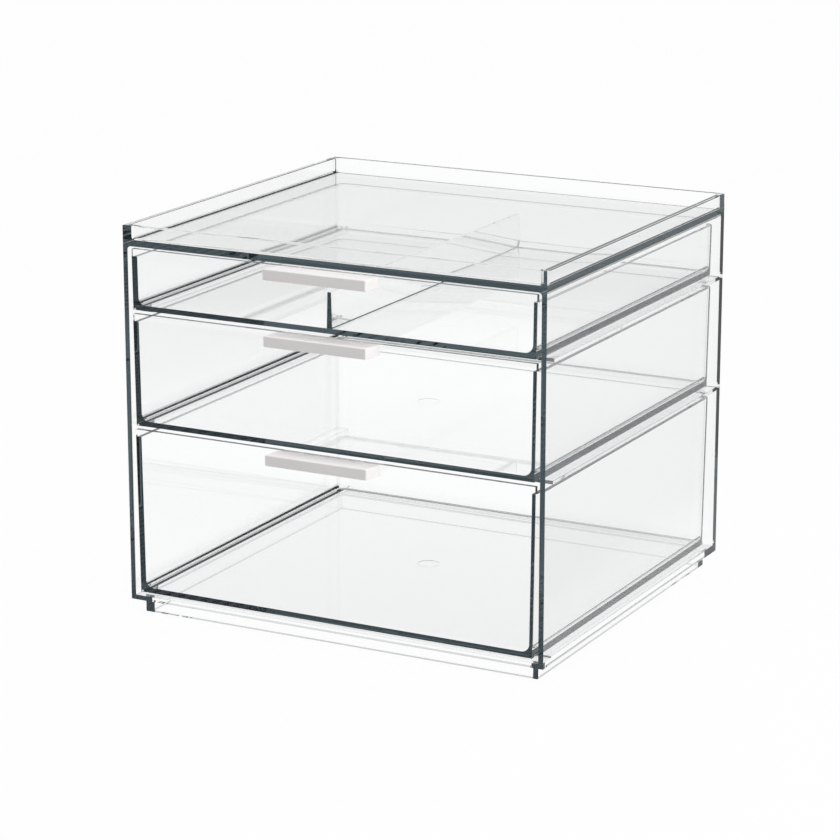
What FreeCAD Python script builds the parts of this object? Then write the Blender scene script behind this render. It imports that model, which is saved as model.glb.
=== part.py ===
import FreeCAD, Part
import math
import os

from FreeCAD import Vector

# Clear three-drawer cosmetic organizer with white pulls.
# Millimetres, +Z up, drawers open towards -Y. The origin is the middle of the
# footprint, pulls included, on the surface that the foot stands on.

# Case
case_width = 260.0
case_depth = 240.0
panel_thickness = 3.0
rear_corner_radius = 0.6

# Top tray: a flat plate with a rim round all four sides
plate_thickness = 2.8
rim_height = 8.9
rim_thickness = 3.6
rim_round_radius = 0.5
tray_corner_radius = 2.6
tray_root_radius = 2.0

# Base: a flange under the panels that steps in and down to the stacking foot
flange_thickness = 2.8
foot_height = 8.2
foot_inset = 5.7
foot_wall = 4.2
foot_corner_radius = 0.8

# Rails: a ledge on each side panel with a low bead that the drawer slides on
rail_width = 8.0
rail_thickness = 2.0
bottom_rail_thickness = 1.0
rail_setback = 12.0
bead_width = 1.6
bead_height = 1.2

# Drawers, from the lowest to the highest
bottom_front_height = 95.5
middle_front_height = 64.2
top_front_height = 34.5
drawer_wall = 2.6
floor_thickness = 2.5
side_drop = 4.5
draft_angle = 0.6
tub_corner_radius = 6.6
tub_edge_radius = 1.2
hollow_corner_radius = 5.6
hollow_edge_radius = 4.6
gate_radius = 6.5
gate_depth = 0.3

# Divider of the top drawer, thinner towards its top edge
divider_height = 20.0
divider_root_thickness = 3.3
divider_top_thickness = 2.2

# Pulls: a bar on the drawer front, held by two pegs through it
pull_length = 63.0
pull_projection = 15.5
pull_height = 6.2
pull_rise = 1.0
pull_edge_radius = 0.7
peg_diameter_share = 0.5
peg_spacing_share = 0.6

# Clearances
side_gap = 2.6
rear_gap = 1.5
drawer_gap = 2.4
plate_gap = 1.3
slide_gap = 0.25
peg_gap = 0.05
divider_gap = 0.1

# Shared helpers
overrun = 1.0
same_place = 1e-4
quarter_turn = 90.0
up = Vector(0, 0, 1)
rearward = Vector(0, 1, 0)

# Places that follow from the sizes above
half_width = case_width / 2
front_y = (pull_projection - case_depth) / 2
rear_y = front_y + case_depth
back_panel_y = rear_y - panel_thickness
flange_z = foot_height
bay_floor_z = flange_z + flange_thickness
drawer_half_width = half_width - panel_thickness - side_gap
drawer_rear_y = back_panel_y - rear_gap
bottom_drawer_z = bay_floor_z + bottom_rail_thickness + bead_height + slide_gap
middle_drawer_z = bottom_drawer_z + bottom_front_height + drawer_gap
top_drawer_z = middle_drawer_z + middle_front_height + drawer_gap
plate_z = top_drawer_z + top_front_height + plate_gap
tray_z = plate_z + plate_thickness
rim_top_z = tray_z + rim_height
draft_slope = math.tan(math.radians(draft_angle))

drawers = {
    "bottom": (bottom_drawer_z, bottom_front_height),
    "middle": (middle_drawer_z, middle_front_height),
    "top": (top_drawer_z, top_front_height),
}
rail_thicknesses = {"bottom": bottom_rail_thickness, "middle": rail_thickness, "top": rail_thickness}


def block(x0, x1, y0, y1, z0, z1):
    return Part.makeBox(x1 - x0, y1 - y0, z1 - z0, Vector(x0, y0, z0))


def drafted_block(half, y0, y1, z0, z1, taper):
    """A block whose sides and rear lean in by taper from its top to its bottom."""
    wedge = Part.makeWedge(
        taper - half, z0, taper - y1, -y1, -half,
        half - taper, z1, -y0, -y0, half,
    )
    wedge.rotate(Vector(0, 0, 0), Vector(1, 0, 0), quarter_turn)
    return wedge


def level_edges(shape, z):
    """Edges that lie flat at height z."""
    return [e for e in shape.Edges if all(abs(v.Z - z) < same_place for v in e.Vertexes)]


def upright_edges(shape):
    """Edges that climb from one height to another."""
    return [e for e in shape.Edges if abs(e.Vertexes[0].Z - e.Vertexes[-1].Z) > same_place]


def edges_behind(edges, y):
    """Those of the edges whose middle lies behind depth y."""
    return [e for e in edges if e.CenterOfMass.y > y + same_place]


def rear_rounded_block(y0, z0, z1):
    """A block as wide as the case that ends at its back, with the two rear corners rounded."""
    shape = block(-half_width, half_width, y0, rear_y, z0, z1)
    return shape.makeFillet(rear_corner_radius, edges_behind(upright_edges(shape), y0))


def inset_block(inset, z0, z1, radius):
    """A rounded block that keeps one inset from the case's outline on all sides."""
    shape = block(
        inset - half_width, half_width - inset, front_y + inset, rear_y - inset, z0, z1
    )
    return shape.makeFillet(radius, upright_edges(shape))


def top_tray():
    body = rear_rounded_block(front_y, plate_z, rim_top_z)
    pocket = inset_block(rim_thickness, tray_z, rim_top_z + overrun, tray_corner_radius)
    pocket = pocket.makeFillet(tray_root_radius, level_edges(pocket, tray_z))
    tray = body.cut(pocket)
    return tray.makeFillet(rim_round_radius, level_edges(tray, rim_top_z))


def base_frame():
    flange = rear_rounded_block(front_y, flange_z, bay_floor_z)
    foot = inset_block(foot_inset, 0, bay_floor_z, foot_corner_radius)
    hollow = inset_block(foot_inset + foot_wall, -overrun, bay_floor_z + overrun, foot_corner_radius)
    return flange.fuse(foot).cut(hollow).removeSplitter()


def side_panel(side):
    x_outer = side * half_width
    x_inner = side * (half_width - panel_thickness)
    return block(min(x_outer, x_inner), max(x_outer, x_inner),
                 front_y, back_panel_y, bay_floor_z, plate_z)


def back_panel():
    return rear_rounded_block(back_panel_y, bay_floor_z, plate_z)


def rail(side, drawer_z, thickness):
    """The ledge and bead under one side of a drawer, from its setback to the back panel."""
    x_wall = side * (half_width - panel_thickness)
    x_edge = x_wall - side * rail_width
    x_bead = x_edge + side * bead_width
    z_bead = drawer_z - slide_gap
    z_ledge = z_bead - bead_height
    z_under = z_ledge - thickness
    y = front_y + rail_setback
    outline = [
        Vector(x_wall, y, z_under), Vector(x_edge, y, z_under), Vector(x_edge, y, z_bead),
        Vector(x_bead, y, z_bead), Vector(x_bead, y, z_ledge), Vector(x_wall, y, z_ledge),
    ]
    face = Part.Face(Part.makePolygon(outline + outline[:1]))
    return face.extrude(rearward * (back_panel_y - y))


def peg_places(drawer_z, front_height):
    """Middle of each peg, on the outer face of the drawer front."""
    z = drawer_z + front_height - pull_height / 2
    reach = pull_length * peg_spacing_share / 2
    return [Vector(x, front_y, z) for x in (-reach, reach)]


def pegs(places, radius, length):
    return [Part.makeCylinder(radius, length, place, rearward) for place in places]


def drawer_tub(drawer_z, front_height):
    """One moulded drawer: floor, low sides and rear, and a flat front that stands higher."""
    top_z = drawer_z + front_height
    hollow_y = front_y + drawer_wall
    crisp = drafted_block(drawer_half_width, front_y, drawer_rear_y, drawer_z, top_z,
                          draft_slope * front_height)
    front = crisp.common(block(-half_width, half_width, front_y, hollow_y, drawer_z, top_z))
    body = crisp.makeFillet(tub_corner_radius, edges_behind(upright_edges(crisp), front_y))
    body = body.makeFillet(tub_edge_radius, edges_behind(level_edges(body, drawer_z), front_y))
    outer = body.fuse(front).removeSplitter()

    hollow_z = drawer_z + floor_thickness
    mouth_z = top_z + overrun
    widening = draft_slope * overrun
    hollow = drafted_block(
        drawer_half_width + widening - drawer_wall, hollow_y,
        drawer_rear_y + widening - drawer_wall, hollow_z, mouth_z, draft_slope * (mouth_z - hollow_z),
    )
    hollow = hollow.makeFillet(hollow_corner_radius, edges_behind(upright_edges(hollow), hollow_y))
    hollow = hollow.makeFillet(hollow_edge_radius, edges_behind(level_edges(hollow, hollow_z), hollow_y))

    above_sides = block(-half_width, half_width, hollow_y, rear_y, top_z - side_drop, mouth_z)
    gate_middle = Vector(0, (front_y + drawer_rear_y) / 2, drawer_z)
    gate = Part.makeCylinder(gate_radius, gate_depth, gate_middle, up)
    hole_radius = pull_height * peg_diameter_share / 2 + peg_gap
    holes = pegs(peg_places(drawer_z, front_height), hole_radius, drawer_wall)
    return outer.cut([hollow, above_sides, gate] + holes)


def pull(drawer_z, front_height):
    """The bar, level with the drawer front at its root and tipped up a little, and its two pegs."""
    top_z = drawer_z + front_height
    x = -pull_length / 2
    tip_y = front_y - pull_projection
    outline = [
        Vector(x, front_y, top_z - pull_height), Vector(x, front_y, top_z),
        Vector(x, tip_y, top_z + pull_rise), Vector(x, tip_y, top_z + pull_rise - pull_height),
    ]
    bar = Part.Face(Part.makePolygon(outline + outline[:1])).extrude(Vector(pull_length, 0, 0))
    shown_edges = [
        e for e in bar.Edges if any(abs(v.Y - front_y) > same_place for v in e.Vertexes)
    ]
    bar = bar.makeFillet(pull_edge_radius, shown_edges)
    peg_radius = pull_height * peg_diameter_share / 2
    return bar.fuse(pegs(peg_places(drawer_z, front_height), peg_radius, drawer_wall))


def divider(drawer_z, front_height):
    """A wall down the middle of the drawer, standing on its floor."""
    z0 = drawer_z + floor_thickness
    z1 = z0 + divider_height
    y0 = front_y + drawer_wall + divider_gap
    rear_lean = draft_slope * (front_height - floor_thickness)
    y1 = drawer_rear_y - drawer_wall - rear_lean - divider_gap
    root = divider_root_thickness / 2
    top = divider_top_thickness / 2
    section = [
        Vector(-root, y0, z0), Vector(root, y0, z0), Vector(top, y0, z1), Vector(-top, y0, z1),
    ]
    wall = Part.Face(Part.makePolygon(section + section[:1])).extrude(rearward * (y1 - y0))
    relief = block(-root, root, y1 - hollow_edge_radius, y1, z0, z0 + hollow_edge_radius)
    return wall.cut(relief)


solids = {
    "top_tray": top_tray(),
    "left_side_panel": side_panel(-1),
    "right_side_panel": side_panel(1),
    "back_panel": back_panel(),
    "base_frame": base_frame(),
    "top_drawer_divider": divider(*drawers["top"]),
}
for name, (drawer_z, front_height) in drawers.items():
    solids[f"left_{name}_rail"] = rail(-1, drawer_z, rail_thicknesses[name])
    solids[f"right_{name}_rail"] = rail(1, drawer_z, rail_thicknesses[name])
    solids[f"{name}_drawer_tub"] = drawer_tub(drawer_z, front_height)
    solids[f"{name}_drawer_pull"] = pull(drawer_z, front_height)

os.makedirs("parts", exist_ok=True)
for node, shape in solids.items():
    shape.exportStep(f"parts/{node}.step")
    print(node, "solids", len(shape.Solids), "valid", shape.isValid(), "volume", round(shape.Volume, 1))
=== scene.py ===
import math

import bmesh
import bpy
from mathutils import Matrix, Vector


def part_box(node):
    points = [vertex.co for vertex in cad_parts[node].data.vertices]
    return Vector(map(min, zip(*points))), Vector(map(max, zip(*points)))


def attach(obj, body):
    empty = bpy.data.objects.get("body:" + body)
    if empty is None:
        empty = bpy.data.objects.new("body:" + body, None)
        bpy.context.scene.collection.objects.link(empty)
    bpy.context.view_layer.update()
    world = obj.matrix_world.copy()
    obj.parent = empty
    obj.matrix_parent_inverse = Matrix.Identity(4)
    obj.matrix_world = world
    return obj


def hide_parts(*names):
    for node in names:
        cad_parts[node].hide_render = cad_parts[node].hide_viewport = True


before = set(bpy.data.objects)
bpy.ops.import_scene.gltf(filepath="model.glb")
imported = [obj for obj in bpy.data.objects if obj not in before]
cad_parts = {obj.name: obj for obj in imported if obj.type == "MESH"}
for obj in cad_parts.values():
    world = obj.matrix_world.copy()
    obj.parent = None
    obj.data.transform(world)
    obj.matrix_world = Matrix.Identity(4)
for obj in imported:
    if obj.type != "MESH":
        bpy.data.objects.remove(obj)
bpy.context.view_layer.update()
scene = bpy.context.scene
scene.view_settings.view_transform = "Standard"
lightBounces = 64  # light runs a long way inside clear plates
scene.cycles.max_bounces = lightBounces
scene.cycles.transmission_bounces = lightBounces
scene.cycles.glossy_bounces = lightBounces
scene.cycles.blur_glossy = 0  # light reaches the pulls through the clear case unblurred

mm = 0.001
spare = 1.0 * mm  # how far a cutter runs past what it cuts
samePlace = 0.01 * mm  # heights closer than this are the same
weldReach = 0.02 * mm  # points closer than this become one
flatAngle = math.radians(0.05)  # a seam flatter than this goes
sharpAngle = math.radians(50)  # an edge sharper than this is rounded
softSteps = 2
levels = ("bottom", "middle", "top")
sides = ("left", "right")


def addPiece(name, bm):
    mesh = bpy.data.meshes.new(name)
    bm.to_mesh(mesh)
    bm.free()
    piece = bpy.data.objects.new(name, mesh)
    scene.collection.objects.link(piece)
    return piece


def startBlock(low, high):
    bm = bmesh.new()
    bmesh.ops.create_cube(bm, size=1)
    for v in bm.verts:
        v.co = Vector([low[i] if v.co[i] < 0 else high[i] for i in range(3)])
    return bm


def roundOff(bm, edges, radius, steps):
    bmesh.ops.bevel(
        bm, geom=edges, offset=radius, offset_type="OFFSET", segments=steps, profile=0.5, affect="EDGES"
    )


def isUpright(edge):
    return abs(edge.verts[0].co.z - edge.verts[1].co.z) > samePlace


def isLevelAt(edge, z):
    return all(abs(v.co.z - z) < samePlace for v in edge.verts)


# a block with its four upright edges rounded
def roundedBlock(low, high, radius, steps):
    bm = startBlock(low, high)
    roundOff(bm, [e for e in bm.edges if isUpright(e)], radius, steps)
    return bm


# the modifiers of a piece become part of its mesh
def settle(piece):
    shaped = piece.evaluated_get(bpy.context.evaluated_depsgraph_get())
    mesh = bpy.data.meshes.new_from_object(shaped)
    piece.modifiers.clear()
    before = piece.data
    piece.data = mesh
    bpy.data.meshes.remove(before)


def carve(piece, tools, operation):
    for tool in tools:
        step = piece.modifiers.new(operation.lower(), "BOOLEAN")
        step.object = tool
        step.operation = operation
        step.solver = "EXACT"
    settle(piece)
    for tool in tools:
        bpy.data.objects.remove(tool)


# points that the carving left on top of each other, and seams across flat faces, go
def cleanUp(piece):
    bm = bmesh.new()
    bm.from_mesh(piece.data)
    bmesh.ops.remove_doubles(bm, verts=bm.verts, dist=weldReach)
    bmesh.ops.dissolve_degenerate(bm, edges=bm.edges, dist=weldReach)
    bmesh.ops.dissolve_limit(bm, angle_limit=flatAngle, verts=bm.verts, edges=bm.edges)
    bm.to_mesh(piece.data)
    bm.free()


# rounds what is still sharp, and keeps the flat faces flat in the shading
def softenEdges(piece, radius):
    cleanUp(piece)
    bevel = piece.modifiers.new("softEdges", "BEVEL")
    bevel.width = radius
    bevel.segments = softSteps
    bevel.limit_method = "ANGLE"
    bevel.angle_limit = sharpAngle
    settle(piece)
    piece.data.shade_smooth()
    piece.data.set_sharp_from_angle(angle=sharpAngle)
    even = piece.modifiers.new("evenNormals", "WEIGHTED_NORMAL")
    even.weight = 100
    even.keep_sharp = True
    settle(piece)


def wearFinish(piece, material):
    piece.data.materials.clear()
    piece.data.materials.append(material)


# materials

clearFinish = {
    "ior": 1.49,
    "mirrorTint": (0.25, 0.25, 0.25),  # faces seen square on hardly mirror, grazing ones do
    "pale": (1.0, 1.0, 1.0),
    "deep": (0.996, 0.998, 0.998),
    "tint": (0.0, 0.3, 0.4),
    "tintDensity": 1.2,  # per metre, so a long plate takes on a slate tint and a thin one stays clear
    "roughLow": 0.0,
    "roughHigh": 0.01,
    "waveScale": 22.0,
    "waveDetail": 2.0,
    "waveDepth": 0.01 * mm,
    "waveStrength": 1.0,
}
pullFinish = {
    "ior": 1.5,
    "pale": (0.88, 0.85, 0.85),
    "deep": (0.855, 0.822, 0.824),
    "cloudScale": 40.0,
    "cloudDetail": 2.0,
    "cloudLow": 0.3,  # the noise below this is all deep, above the next all pale
    "cloudHigh": 0.7,
    "roughLow": 0.38,
    "roughHigh": 0.5,
    "grainScale": 900.0,
    "grainDetail": 3.0,
    "grainDepth": 0.03 * mm,
    "grainStrength": 0.3,
}


# lays out the nodes of a material or of the world
class Wiring:
    def __init__(self, tree):
        self.nodes = tree.nodes
        self.links = tree.links

    # sockets take plain values or the outputs of other nodes
    def fill(self, node, sockets):
        for name, value in sockets.items():
            if isinstance(value, bpy.types.NodeSocket):
                self.links.new(value, node.inputs[name])
            else:
                node.inputs[name].default_value = value

    def add(self, kind, sockets):
        node = self.nodes.new("ShaderNode" + kind)
        self.fill(node, sockets)
        return node

    def place(self, kind):
        return self.add("TexCoord", {}).outputs[kind]

    def calc(self, operation, first, second):
        node = self.add("Math", {0: first, 1: second})
        node.operation = operation
        return node.outputs["Value"]

    def ramp(self, value, fromMin, fromMax, toMin, toMax):
        node = self.add("MapRange", {
            "Value": value, "From Min": fromMin, "From Max": fromMax, "To Min": toMin, "To Max": toMax
        })
        return node.outputs["Result"]

    def noise(self, place, scale, detail):
        node = self.add("TexNoise", {"Vector": place, "Scale": scale, "Detail": detail})
        return node.outputs["Fac"]

    def bump(self, height, depth, strength):
        node = self.add("Bump", {"Height": height, "Distance": depth, "Strength": strength})
        return node.outputs["Normal"]

    # the deep colour below the low value, the pale one above the high value
    def hue(self, value, look, low, high):
        node = self.add("ValToRGB", {"Fac": value})
        deep, pale = node.color_ramp.elements
        deep.position = low
        deep.color = (*look["deep"], 1)
        pale.position = high
        pale.color = (*look["pale"], 1)
        return node.outputs["Color"]


def startMaterial(name):
    material = bpy.data.materials.new(name)
    material.use_nodes = True
    return material, Wiring(material.node_tree)


def clearPlastic():
    look = clearFinish
    material, tree = startMaterial("clearPlastic")
    waves = tree.noise(tree.place("Object"), look["waveScale"], look["waveDetail"])
    tree.fill(tree.nodes["Principled BSDF"], {
        "Base Color": tree.hue(waves, look, 0.0, 1.0),
        "Roughness": tree.ramp(waves, 0.0, 1.0, look["roughLow"], look["roughHigh"]),
        "Normal": tree.bump(waves, look["waveDepth"], look["waveStrength"]),
        "Transmission Weight": 1.0,
        "IOR": look["ior"],
        "Specular Tint": (*look["mirrorTint"], 1),
    })
    depth = tree.add("VolumeAbsorption", {"Color": (*look["tint"], 1), "Density": look["tintDensity"]})
    tree.fill(tree.nodes["Material Output"], {"Volume": depth.outputs["Volume"]})
    return material


def whitePlastic():
    look = pullFinish
    material, tree = startMaterial("whitePlastic")
    place = tree.place("Object")
    grain = tree.noise(place, look["grainScale"], look["grainDetail"])
    cloud = tree.noise(place, look["cloudScale"], look["cloudDetail"])
    tree.fill(tree.nodes["Principled BSDF"], {
        "Base Color": tree.hue(cloud, look, look["cloudLow"], look["cloudHigh"]),
        "Roughness": tree.ramp(grain, 0.0, 1.0, look["roughLow"], look["roughHigh"]),
        "Normal": tree.bump(grain, look["grainDepth"], look["grainStrength"]),
        "IOR": look["ior"],
    })
    return material


clear = clearPlastic()
white = whitePlastic()
print("finishes made")


# the clear case: tray, sides, back, rails and foot moulded as one shell

caseLook = {
    "panel": 3.0 * mm,
    "plate": 2.8 * mm,
    "rim": 3.6 * mm,
    "flange": 2.8 * mm,
    "rearCornerRadius": 0.6 * mm,
    "trayCornerRadius": 2.6 * mm,
    "trayCornerSteps": 8,
    "trayRootRadius": 2.0 * mm,
    "trayRootSteps": 5,
    "rimRadius": 0.5 * mm,
    "bayFillet": 2.0 * mm,
    "footInset": 5.7 * mm,
    "footWall": 4.2 * mm,
    "footCornerRadius": 0.8 * mm,
    "railBead": 1.6 * mm,
    "railBeadHeight": 1.2 * mm,
    "roundSteps": 6,
    "softEdge": 0.12 * mm,
}


# a ledge with a low bead along its inner edge, let into the side panel, the back and the flange
def caseRail(side, level):
    look = caseLook
    low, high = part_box(f"{side}_{level}_rail")
    if side == "left":
        wallX, edgeX, beadX = low.x - look["panel"] / 2, high.x, high.x - look["railBead"]
    else:
        wallX, edgeX, beadX = high.x + look["panel"] / 2, low.x, low.x + look["railBead"]
    ledgeZ = high.z - look["railBeadHeight"]
    underZ = low.z - (spare if level == "bottom" else 0)
    section = [
        (wallX, underZ), (edgeX, underZ), (edgeX, high.z),
        (beadX, high.z), (beadX, ledgeZ), (wallX, ledgeZ),
    ]
    bm = bmesh.new()
    ends = []
    for y in (low.y, high.y + look["panel"] / 2):
        ends.append([bm.verts.new((x, y, z)) for x, z in section])
    for end in ends:
        bm.faces.new(end)
    for i in range(len(section)):
        bm.faces.new((ends[0][i - 1], ends[0][i], ends[1][i], ends[1][i - 1]))
    bmesh.ops.recalc_face_normals(bm, faces=bm.faces)
    return addPiece("rail", bm)


def caseShell():
    look = caseLook
    steps = look["roundSteps"]
    trayLow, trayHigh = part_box("top_tray")
    left, right = trayLow.x, trayHigh.x
    front, rear = trayLow.y, trayHigh.y
    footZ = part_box("base_frame")[0].z
    bayZ, plateZ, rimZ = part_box("left_side_panel")[0].z, trayLow.z, trayHigh.z
    flangeZ = bayZ - look["flange"]
    trayZ = plateZ + look["plate"]

    # two corners of a block that keeps one inset from the outline of the case
    def setIn(inset, lowZ, highZ):
        return (left + inset, front + inset, lowZ), (right - inset, rear - inset, highZ)

    bm = startBlock((left, front, flangeZ), (right, rear, rimZ))
    edges = [e for e in bm.edges if isUpright(e) and e.verts[0].co.y > 0]  # the front edges stay crisp
    roundOff(bm, edges, look["rearCornerRadius"], steps)
    shell = addPiece("caseShell", bm)

    # the bay that the drawers run in, open at the front
    panel = look["panel"]
    bm = startBlock((left + panel, front - spare, bayZ), (right - panel, rear - panel, plateZ))
    edges = [e for e in bm.edges if isLevelAt(e, plateZ)]
    edges = [e for e in edges if abs(e.verts[0].co.x - e.verts[1].co.x) < spare]  # those along the sides
    roundOff(bm, edges, look["bayFillet"], steps)
    bay = addPiece("bay", bm)

    # the recess of the tray
    low, high = setIn(look["rim"], trayZ, rimZ + spare)
    bm = roundedBlock(low, high, look["trayCornerRadius"], look["trayCornerSteps"])
    edges = [e for e in bm.edges if isLevelAt(e, trayZ)]
    roundOff(bm, edges, look["trayRootRadius"], look["trayRootSteps"])
    recess = addPiece("recess", bm)
    carve(shell, [bay, recess], "DIFFERENCE")

    # the foot, a ring under the flange
    low, high = setIn(look["footInset"], footZ, flangeZ + spare)
    foot = addPiece("foot", roundedBlock(low, high, look["footCornerRadius"], steps))
    carve(shell, [foot], "UNION")
    low, high = setIn(look["footInset"] + look["footWall"], footZ - spare, bayZ + spare)
    opening = addPiece("opening", roundedBlock(low, high, look["footCornerRadius"], steps))
    carve(shell, [opening], "DIFFERENCE")

    rails = [caseRail(side, level) for level in levels for side in sides]
    carve(shell, rails, "UNION")

    # the rim's two upper edges
    bm = bmesh.new()
    bm.from_mesh(shell.data)
    edges = [e for e in bm.edges if isLevelAt(e, rimZ) and e.calc_face_angle(0) > sharpAngle]
    roundOff(bm, edges, look["rimRadius"], steps)
    bm.to_mesh(shell.data)
    bm.free()

    softenEdges(shell, look["softEdge"])
    wearFinish(shell, clear)
    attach(shell, "case")
    railNames = [f"{side}_{level}_rail" for side in sides for level in levels]
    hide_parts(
        "top_tray", "left_side_panel", "right_side_panel", "back_panel", "base_frame", *railNames
    )
    print("case shell", len(shell.data.vertices), "points")


caseShell()


# the three drawers, each one moulding with low sides and a taller front

tubLook = {
    "wall": 2.6 * mm,
    "floor": 2.5 * mm,
    "sideDrop": 4.5 * mm,
    "draft": math.tan(math.radians(0.6)),
    "cornerRadius": 6.6 * mm,
    "edgeRadius": 1.2 * mm,
    "hollowCornerRadius": 5.6 * mm,
    "hollowEdgeRadius": 4.6 * mm,
    "cornerSteps": 10,
    "edgeSteps": 8,
    "gateRadius": 6.5 * mm,
    "gateDepth": 0.3 * mm,
    "gateSteps": 64,
    "softEdge": 0.12 * mm,
}
dividerLook = {"topThickness": 2.2 * mm, "sunk": 0.3 * mm}
pullLook = {
    "height": 6.2 * mm,
    "rise": 1.0 * mm,
    "edgeRadius": 0.7 * mm,
    "edgeSteps": 5,
    "seated": 0.02 * mm,
    "pegRadius": 1.55 * mm,
    "pegGap": 0.05 * mm,
    "pegSpacing": 37.8 * mm,
    "pegSteps": 32,
    "softEdge": 0.1 * mm,
}


# a block whose sides and rear lean in towards its floor
def leaningBlock(half, frontY, rearY, floorZ, topZ, lean):
    bm = startBlock((-half, frontY, floorZ), (half, rearY, topZ))
    for v in bm.verts:
        if abs(v.co.z - floorZ) < samePlace:
            v.co.x -= math.copysign(lean, v.co.x)
            if v.co.y > frontY + spare:
                v.co.y -= lean
    return bm


# a leaning block, rounded up its rear corners and along the foot of its walls
def roundedTub(sizes, cornerRadius, edgeRadius):
    half, frontY, rearY, floorZ, topZ = sizes
    bm = leaningBlock(half, frontY, rearY, floorZ, topZ, tubLook["draft"] * (topZ - floorZ))
    edges = [e for e in bm.edges if isUpright(e) and e.verts[0].co.y > frontY + spare]
    roundOff(bm, edges, cornerRadius, tubLook["cornerSteps"])
    edges = [e for e in bm.edges if isLevelAt(e, floorZ)]
    edges = [e for e in edges if max(v.co.y for v in e.verts) > frontY + spare]
    roundOff(bm, edges, edgeRadius, tubLook["edgeSteps"])
    return bm


# the two pegs of a pull, or the holes for them
def pegPair(topZ, startY, radius, depth):
    pegs = []
    for side in (-1, 1):
        x = side * pullLook["pegSpacing"] / 2
        z = topZ - pullLook["height"] / 2
        bm = bmesh.new()
        bmesh.ops.create_cone(
            bm, cap_ends=True, segments=pullLook["pegSteps"], radius1=radius, radius2=radius, depth=depth
        )
        for v in bm.verts:
            v.co = Vector((x + v.co.x, startY + depth / 2 + v.co.z, z - v.co.y))
        pegs.append(addPiece("peg", bm))
    return pegs


def drawerTub(level):
    look = tubLook
    low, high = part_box(f"{level}_drawer_tub")
    half = high.x
    lean = look["draft"]
    innerY = low.y + look["wall"]
    startY = low.y + look["wall"] / 2
    mouthZ = high.z + spare

    # the tub behind its front
    sizes = (half, startY, high.y, low.z, high.z)
    tub = addPiece(f"{level}DrawerTub", roundedTub(sizes, look["cornerRadius"], look["edgeRadius"]))
    wider = lean * spare - look["wall"]
    sizes = (half + wider, low.y, high.y + wider, low.z + look["floor"], mouthZ)
    hollow = addPiece("hollow", roundedTub(sizes, look["hollowCornerRadius"], look["hollowEdgeRadius"]))
    aboveSides = addPiece("aboveSides", startBlock(
        (-half - spare, low.y, high.z - look["sideDrop"]), (half + spare, high.y + spare, mouthZ)
    ))
    carve(tub, [hollow, aboveSides], "DIFFERENCE")

    # the front, a flat plate with crisp edges that stands taller than the sides
    bm = leaningBlock(half, low.y, innerY, low.z, high.z, lean * (high.z - low.z))
    for v in bm.verts:
        v.co.y = low.y if v.co.y < startY else innerY
    carve(tub, [addPiece("front", bm)], "UNION")

    # the round mark under the middle of the floor, and the holes for the pull
    gate = look["gateRadius"]
    bm = bmesh.new()
    bmesh.ops.create_cone(
        bm, cap_ends=True, segments=look["gateSteps"], radius1=gate, radius2=gate,
        depth=2 * look["gateDepth"],
    )
    for v in bm.verts:
        v.co += Vector((0, (low.y + high.y) / 2, low.z))
    gateMark = addPiece("gateMark", bm)
    holeRadius = pullLook["pegRadius"] + pullLook["pegGap"]
    holes = pegPair(high.z, low.y - spare, holeRadius, look["wall"] + 2 * spare)
    carve(tub, [gateMark, *holes], "DIFFERENCE")
    if level == "top":
        carve(tub, [topDivider()], "UNION")

    softenEdges(tub, look["softEdge"])
    wearFinish(tub, clear)
    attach(tub, f"{level}_drawer")
    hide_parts(f"{level}_drawer_tub")
    if level == "top":
        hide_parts("top_drawer_divider")
    print(level, "drawer tub", len(tub.data.vertices), "points")


# the wall down the middle of the top drawer, moulded to its floor and thinner towards its top
def topDivider():
    look = dividerLook
    low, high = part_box("top_drawer_divider")
    sunk = look["sunk"]
    bm = startBlock((low.x, low.y - sunk, low.z - sunk), high)
    for v in bm.verts:
        if v.co.z > high.z - spare:
            v.co.x = math.copysign(look["topThickness"] / 2, v.co.x)
    return addPiece("topDivider", bm)


def drawerPull(level):
    look = pullLook
    low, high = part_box(f"{level}_drawer_pull")
    tubLow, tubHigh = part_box(f"{level}_drawer_tub")
    frontY = tubLow.y
    bm = startBlock(low, (high.x, frontY + look["seated"], tubHigh.z))
    for v in bm.verts:
        if v.co.y < frontY:
            v.co.z += look["rise"]  # tipped up a little towards its front edge
    edges = [e for e in bm.edges if any(v.co.y < frontY for v in e.verts)]
    roundOff(bm, edges, look["edgeRadius"], look["edgeSteps"])
    pull = addPiece(f"{level}DrawerPull", bm)
    pegs = pegPair(tubHigh.z, frontY - spare, look["pegRadius"], high.y - frontY + spare)
    carve(pull, pegs, "UNION")
    softenEdges(pull, look["softEdge"])
    wearFinish(pull, white)
    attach(pull, f"{level}_drawer")
    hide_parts(f"{level}_drawer_pull")


for level in levels:
    drawerTub(level)
    drawerPull(level)
print("drawers and pulls made")


# floor, light and camera

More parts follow.
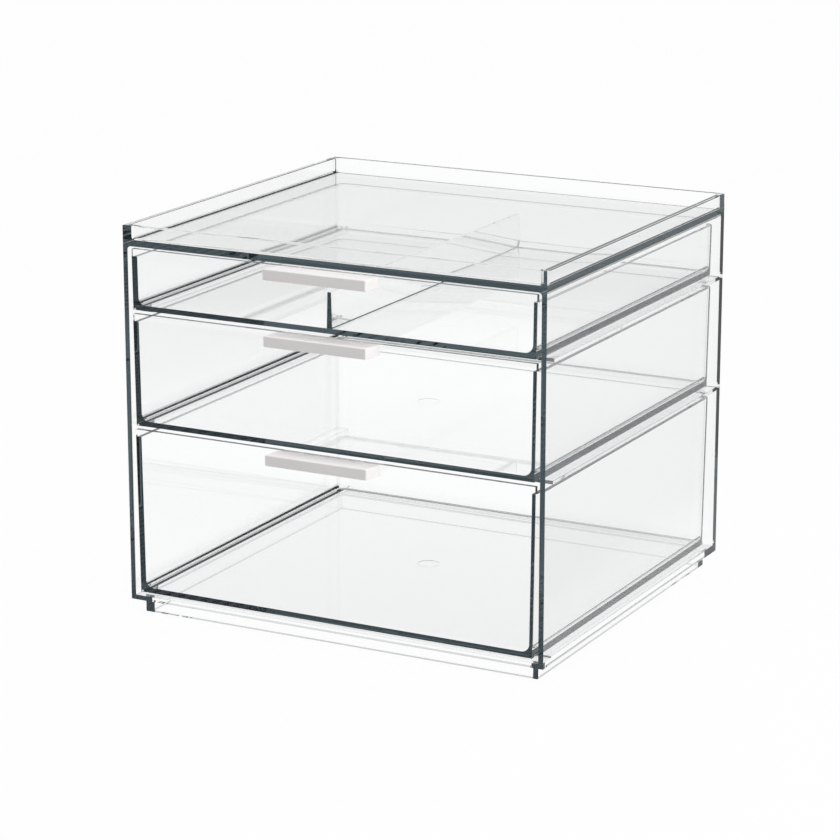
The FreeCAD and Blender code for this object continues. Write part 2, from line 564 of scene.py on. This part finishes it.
studio = {
    "floorReach": 8.0,
    "floorDrop": 0.02 * mm,
    "floorColour": (0.6, 0.6, 0.6),
    "whiteToCamera": 0.97,  # how far the floor shows as plain white paper
    "whiteInPlastic": 0.97,
    "paintedSideShade": 0.72,  # painted darker reflection: the paper right of the case, darker only as the walls mirror it
    "darkFrom": 0.13,
    "darkTo": 0.2,
    "rightLevel": 0.1,  # painted darker reflection: the low backdrop to the right, greyer only as corners and fillets mirror it
    "rightFrom": 0.2,
    "rightTo": 0.42,
    "lowFrom": 0.23,
    "lowTo": 0.32,
    "lowLeft": 0.2,
    "highLevel": 0.5,  # painted darker reflection: the backdrop higher up, greyer only as floors mirror it
    "highFrom": 0.25,
    "highTo": 0.34,
    "nearLevel": 0.75,  # painted darker reflection: the backdrop close above the floor, greyer only as the tray mirrors it
    "nearFrom": 0.22,
    "nearTo": 0.235,
    "mirroredOver": 0.5,  # light with more mirror bounces than this has been mirrored
    "longPathFrom": 3,  # painted shade: the backdrop seen by light that runs along inside a plate fades to slate over these bounces
    "longPathTo": 9,
    "paintedLongPathColour": (0.095, 0.12, 0.13),
    "skyTilt": (0.0, 0.7, 0.7),  # the sky is brightest this way
    "skyLow": 0.12,
    "skyHigh": 1.1,
    "lampAim": (0.0, 0.0, 0.1),
}
softBoxes = {
    "sideBox": {"place": (1.8, -0.2, 0.6), "size": (0.3, 0.9), "power": 14.0},
    "topBox": {"place": (0.0, -0.3, 1.9), "size": (1.0, 0.3), "power": 9.0},
}
view = {
    "place": (0.79847, -1.52480, 0.56661),
    "turn": 0.484,
    "tilt": 0.263,
    "lens": 132.86,
    "sensor": 36.0,
}
colourMix = {"from": 6, "to": 7, "out": 2}  # where a Mix node keeps its colours


# the nodes that the floor and the backdrop share
class StudioWiring(Wiring):
    def __init__(self, tree):
        super().__init__(tree)
        self.ray = self.add("LightPath", {}).outputs

    def mirrored(self):
        return self.calc("GREATER_THAN", self.ray["Glossy Depth"], studio["mirroredOver"])

    def inPlastic(self):
        return self.calc("MAXIMUM", self.ray["Is Glossy Ray"], self.ray["Is Transmission Ray"])

    # painted shade: white, going slate for light that has run a long way inside a plate, so the plate
    # edges show dark
    def paintedLongPathShade(self):
        bounces = self.ray["Glossy Depth"]
        share = self.ramp(bounces, studio["longPathFrom"], studio["longPathTo"], 0.0, 1.0)
        node = self.nodes.new("ShaderNodeMix")
        node.data_type = "RGBA"
        self.fill(node, {
            "Factor": share,
            colourMix["from"]: (1, 1, 1, 1),
            colourMix["to"]: (*studio["paintedLongPathColour"], 1),
        })
        return node.outputs[colourMix["out"]]


def paperFloor():
    bm = bmesh.new()
    bmesh.ops.create_grid(bm, x_segments=1, y_segments=1, size=studio["floorReach"])
    floor = addPiece("floor", bm)
    floor.location.z = -studio["floorDrop"]
    material = bpy.data.materials.new("paleFloor")
    material.use_nodes = True
    tree = StudioWiring(material.node_tree)
    tree.nodes.remove(tree.nodes["Principled BSDF"])
    paper = tree.add("BsdfDiffuse", {"Color": (*studio["floorColour"], 1)})

    # painted darker reflection: the walls mirror darker paper on the right, though the paper is no
    # darker there; all other sight of the floor is white, going to painted slate on long paths
    across = tree.add("SeparateXYZ", {"Vector": tree.place("Object")}).outputs["X"]
    side = tree.ramp(across, studio["darkFrom"], studio["darkTo"], 0.0, 1 - studio["paintedSideShade"])
    # painted darker reflection: the floor glow dims only for mirrored light
    paintedDim = tree.calc("MULTIPLY", tree.mirrored(), side)
    glow = tree.add("Emission", {"Color": tree.paintedLongPathShade(), "Strength": tree.calc("SUBTRACT", 1.0, paintedDim)})

    # diffuse light meets only the paper, so the shadow stays
    inPlastic = tree.calc("MULTIPLY", tree.inPlastic(), studio["whiteInPlastic"])
    toCamera = tree.calc("MULTIPLY", tree.ray["Is Camera Ray"], studio["whiteToCamera"])
    share = tree.calc("MAXIMUM", inPlastic, toCamera)
    mix = tree.add("MixShader", {"Fac": share, 1: paper.outputs["BSDF"], 2: glow.outputs["Emission"]})
    tree.fill(tree.nodes["Material Output"], {"Surface": mix.outputs["Shader"]})
    floor.data.materials.append(material)


def studioLight():
    world = bpy.data.worlds.new("studio")
    scene.world = world
    world.use_nodes = True
    tree = StudioWiring(world.node_tree)
    place = tree.place("Generated")
    lean = tree.add("VectorMath", {0: place, 1: studio["skyTilt"]})
    lean.operation = "DOT_PRODUCT"
    fade = tree.ramp(lean.outputs["Value"], -1.0, 1.0, studio["skyLow"], studio["skyHigh"])

    # the camera and the plastic see a white backdrop
    # painted darker reflections: where it is mirrored, it is greyer higher up, close above the floor and
    # low to the right
    way = tree.add("SeparateXYZ", {"Vector": place}).outputs
    right = tree.ramp(way["X"], studio["rightFrom"], studio["rightTo"], 0.0, 1 - studio["rightLevel"])
    low = tree.ramp(way["Z"], studio["lowFrom"], studio["lowTo"], 1.0, studio["lowLeft"])
    right = tree.calc("MULTIPLY", right, low)
    high = tree.ramp(way["Z"], studio["highFrom"], studio["highTo"], 0.0, 1 - studio["highLevel"])
    near = tree.ramp(way["Z"], studio["nearFrom"], studio["nearTo"], 1 - studio["nearLevel"], 0.0)
    paintedGrey = tree.calc("MAXIMUM", right, tree.calc("MAXIMUM", high, near))
    shade = tree.calc("SUBTRACT", 1.0, tree.calc("MULTIPLY", tree.mirrored(), paintedGrey))

    # diffuse light meets the softer sky
    seen = tree.calc("MAXIMUM", tree.ray["Is Camera Ray"], tree.inPlastic())
    unseen = tree.calc("SUBTRACT", 1.0, seen)
    level = tree.calc("ADD", tree.calc("MULTIPLY", seen, shade), tree.calc("MULTIPLY", unseen, fade))
    # painted shade: the backdrop goes slate for light that has run a long way inside a plate
    tree.fill(tree.nodes["Background"], {"Color": tree.paintedLongPathShade(), "Strength": level})


def softBox(name):
    box = softBoxes[name]
    data = bpy.data.lights.new(name, "AREA")
    data.shape = "RECTANGLE"
    data.size, data.size_y = box["size"]
    data.energy = box["power"]
    lamp = bpy.data.objects.new(name, data)
    lamp.location = box["place"]
    aim = Vector(studio["lampAim"]) - lamp.location
    lamp.rotation_euler = aim.to_track_quat("-Z", "Y").to_euler()
    for sight in ("visible_camera", "visible_glossy", "visible_transmission"):
        setattr(lamp, sight, False)
    scene.collection.objects.link(lamp)


def frontRightCamera():
    data = bpy.data.cameras.new("camera")
    data.sensor_width = view["sensor"]
    data.lens = view["lens"]
    camera = bpy.data.objects.new("camera", data)
    camera.location = view["place"]
    camera.rotation_euler = (math.pi / 2 - view["tilt"], 0, view["turn"])
    scene.collection.objects.link(camera)
    scene.camera = camera


paperFloor()
studioLight()
for name in softBoxes:
    softBox(name)
frontRightCamera()
print("floor, light and camera set")
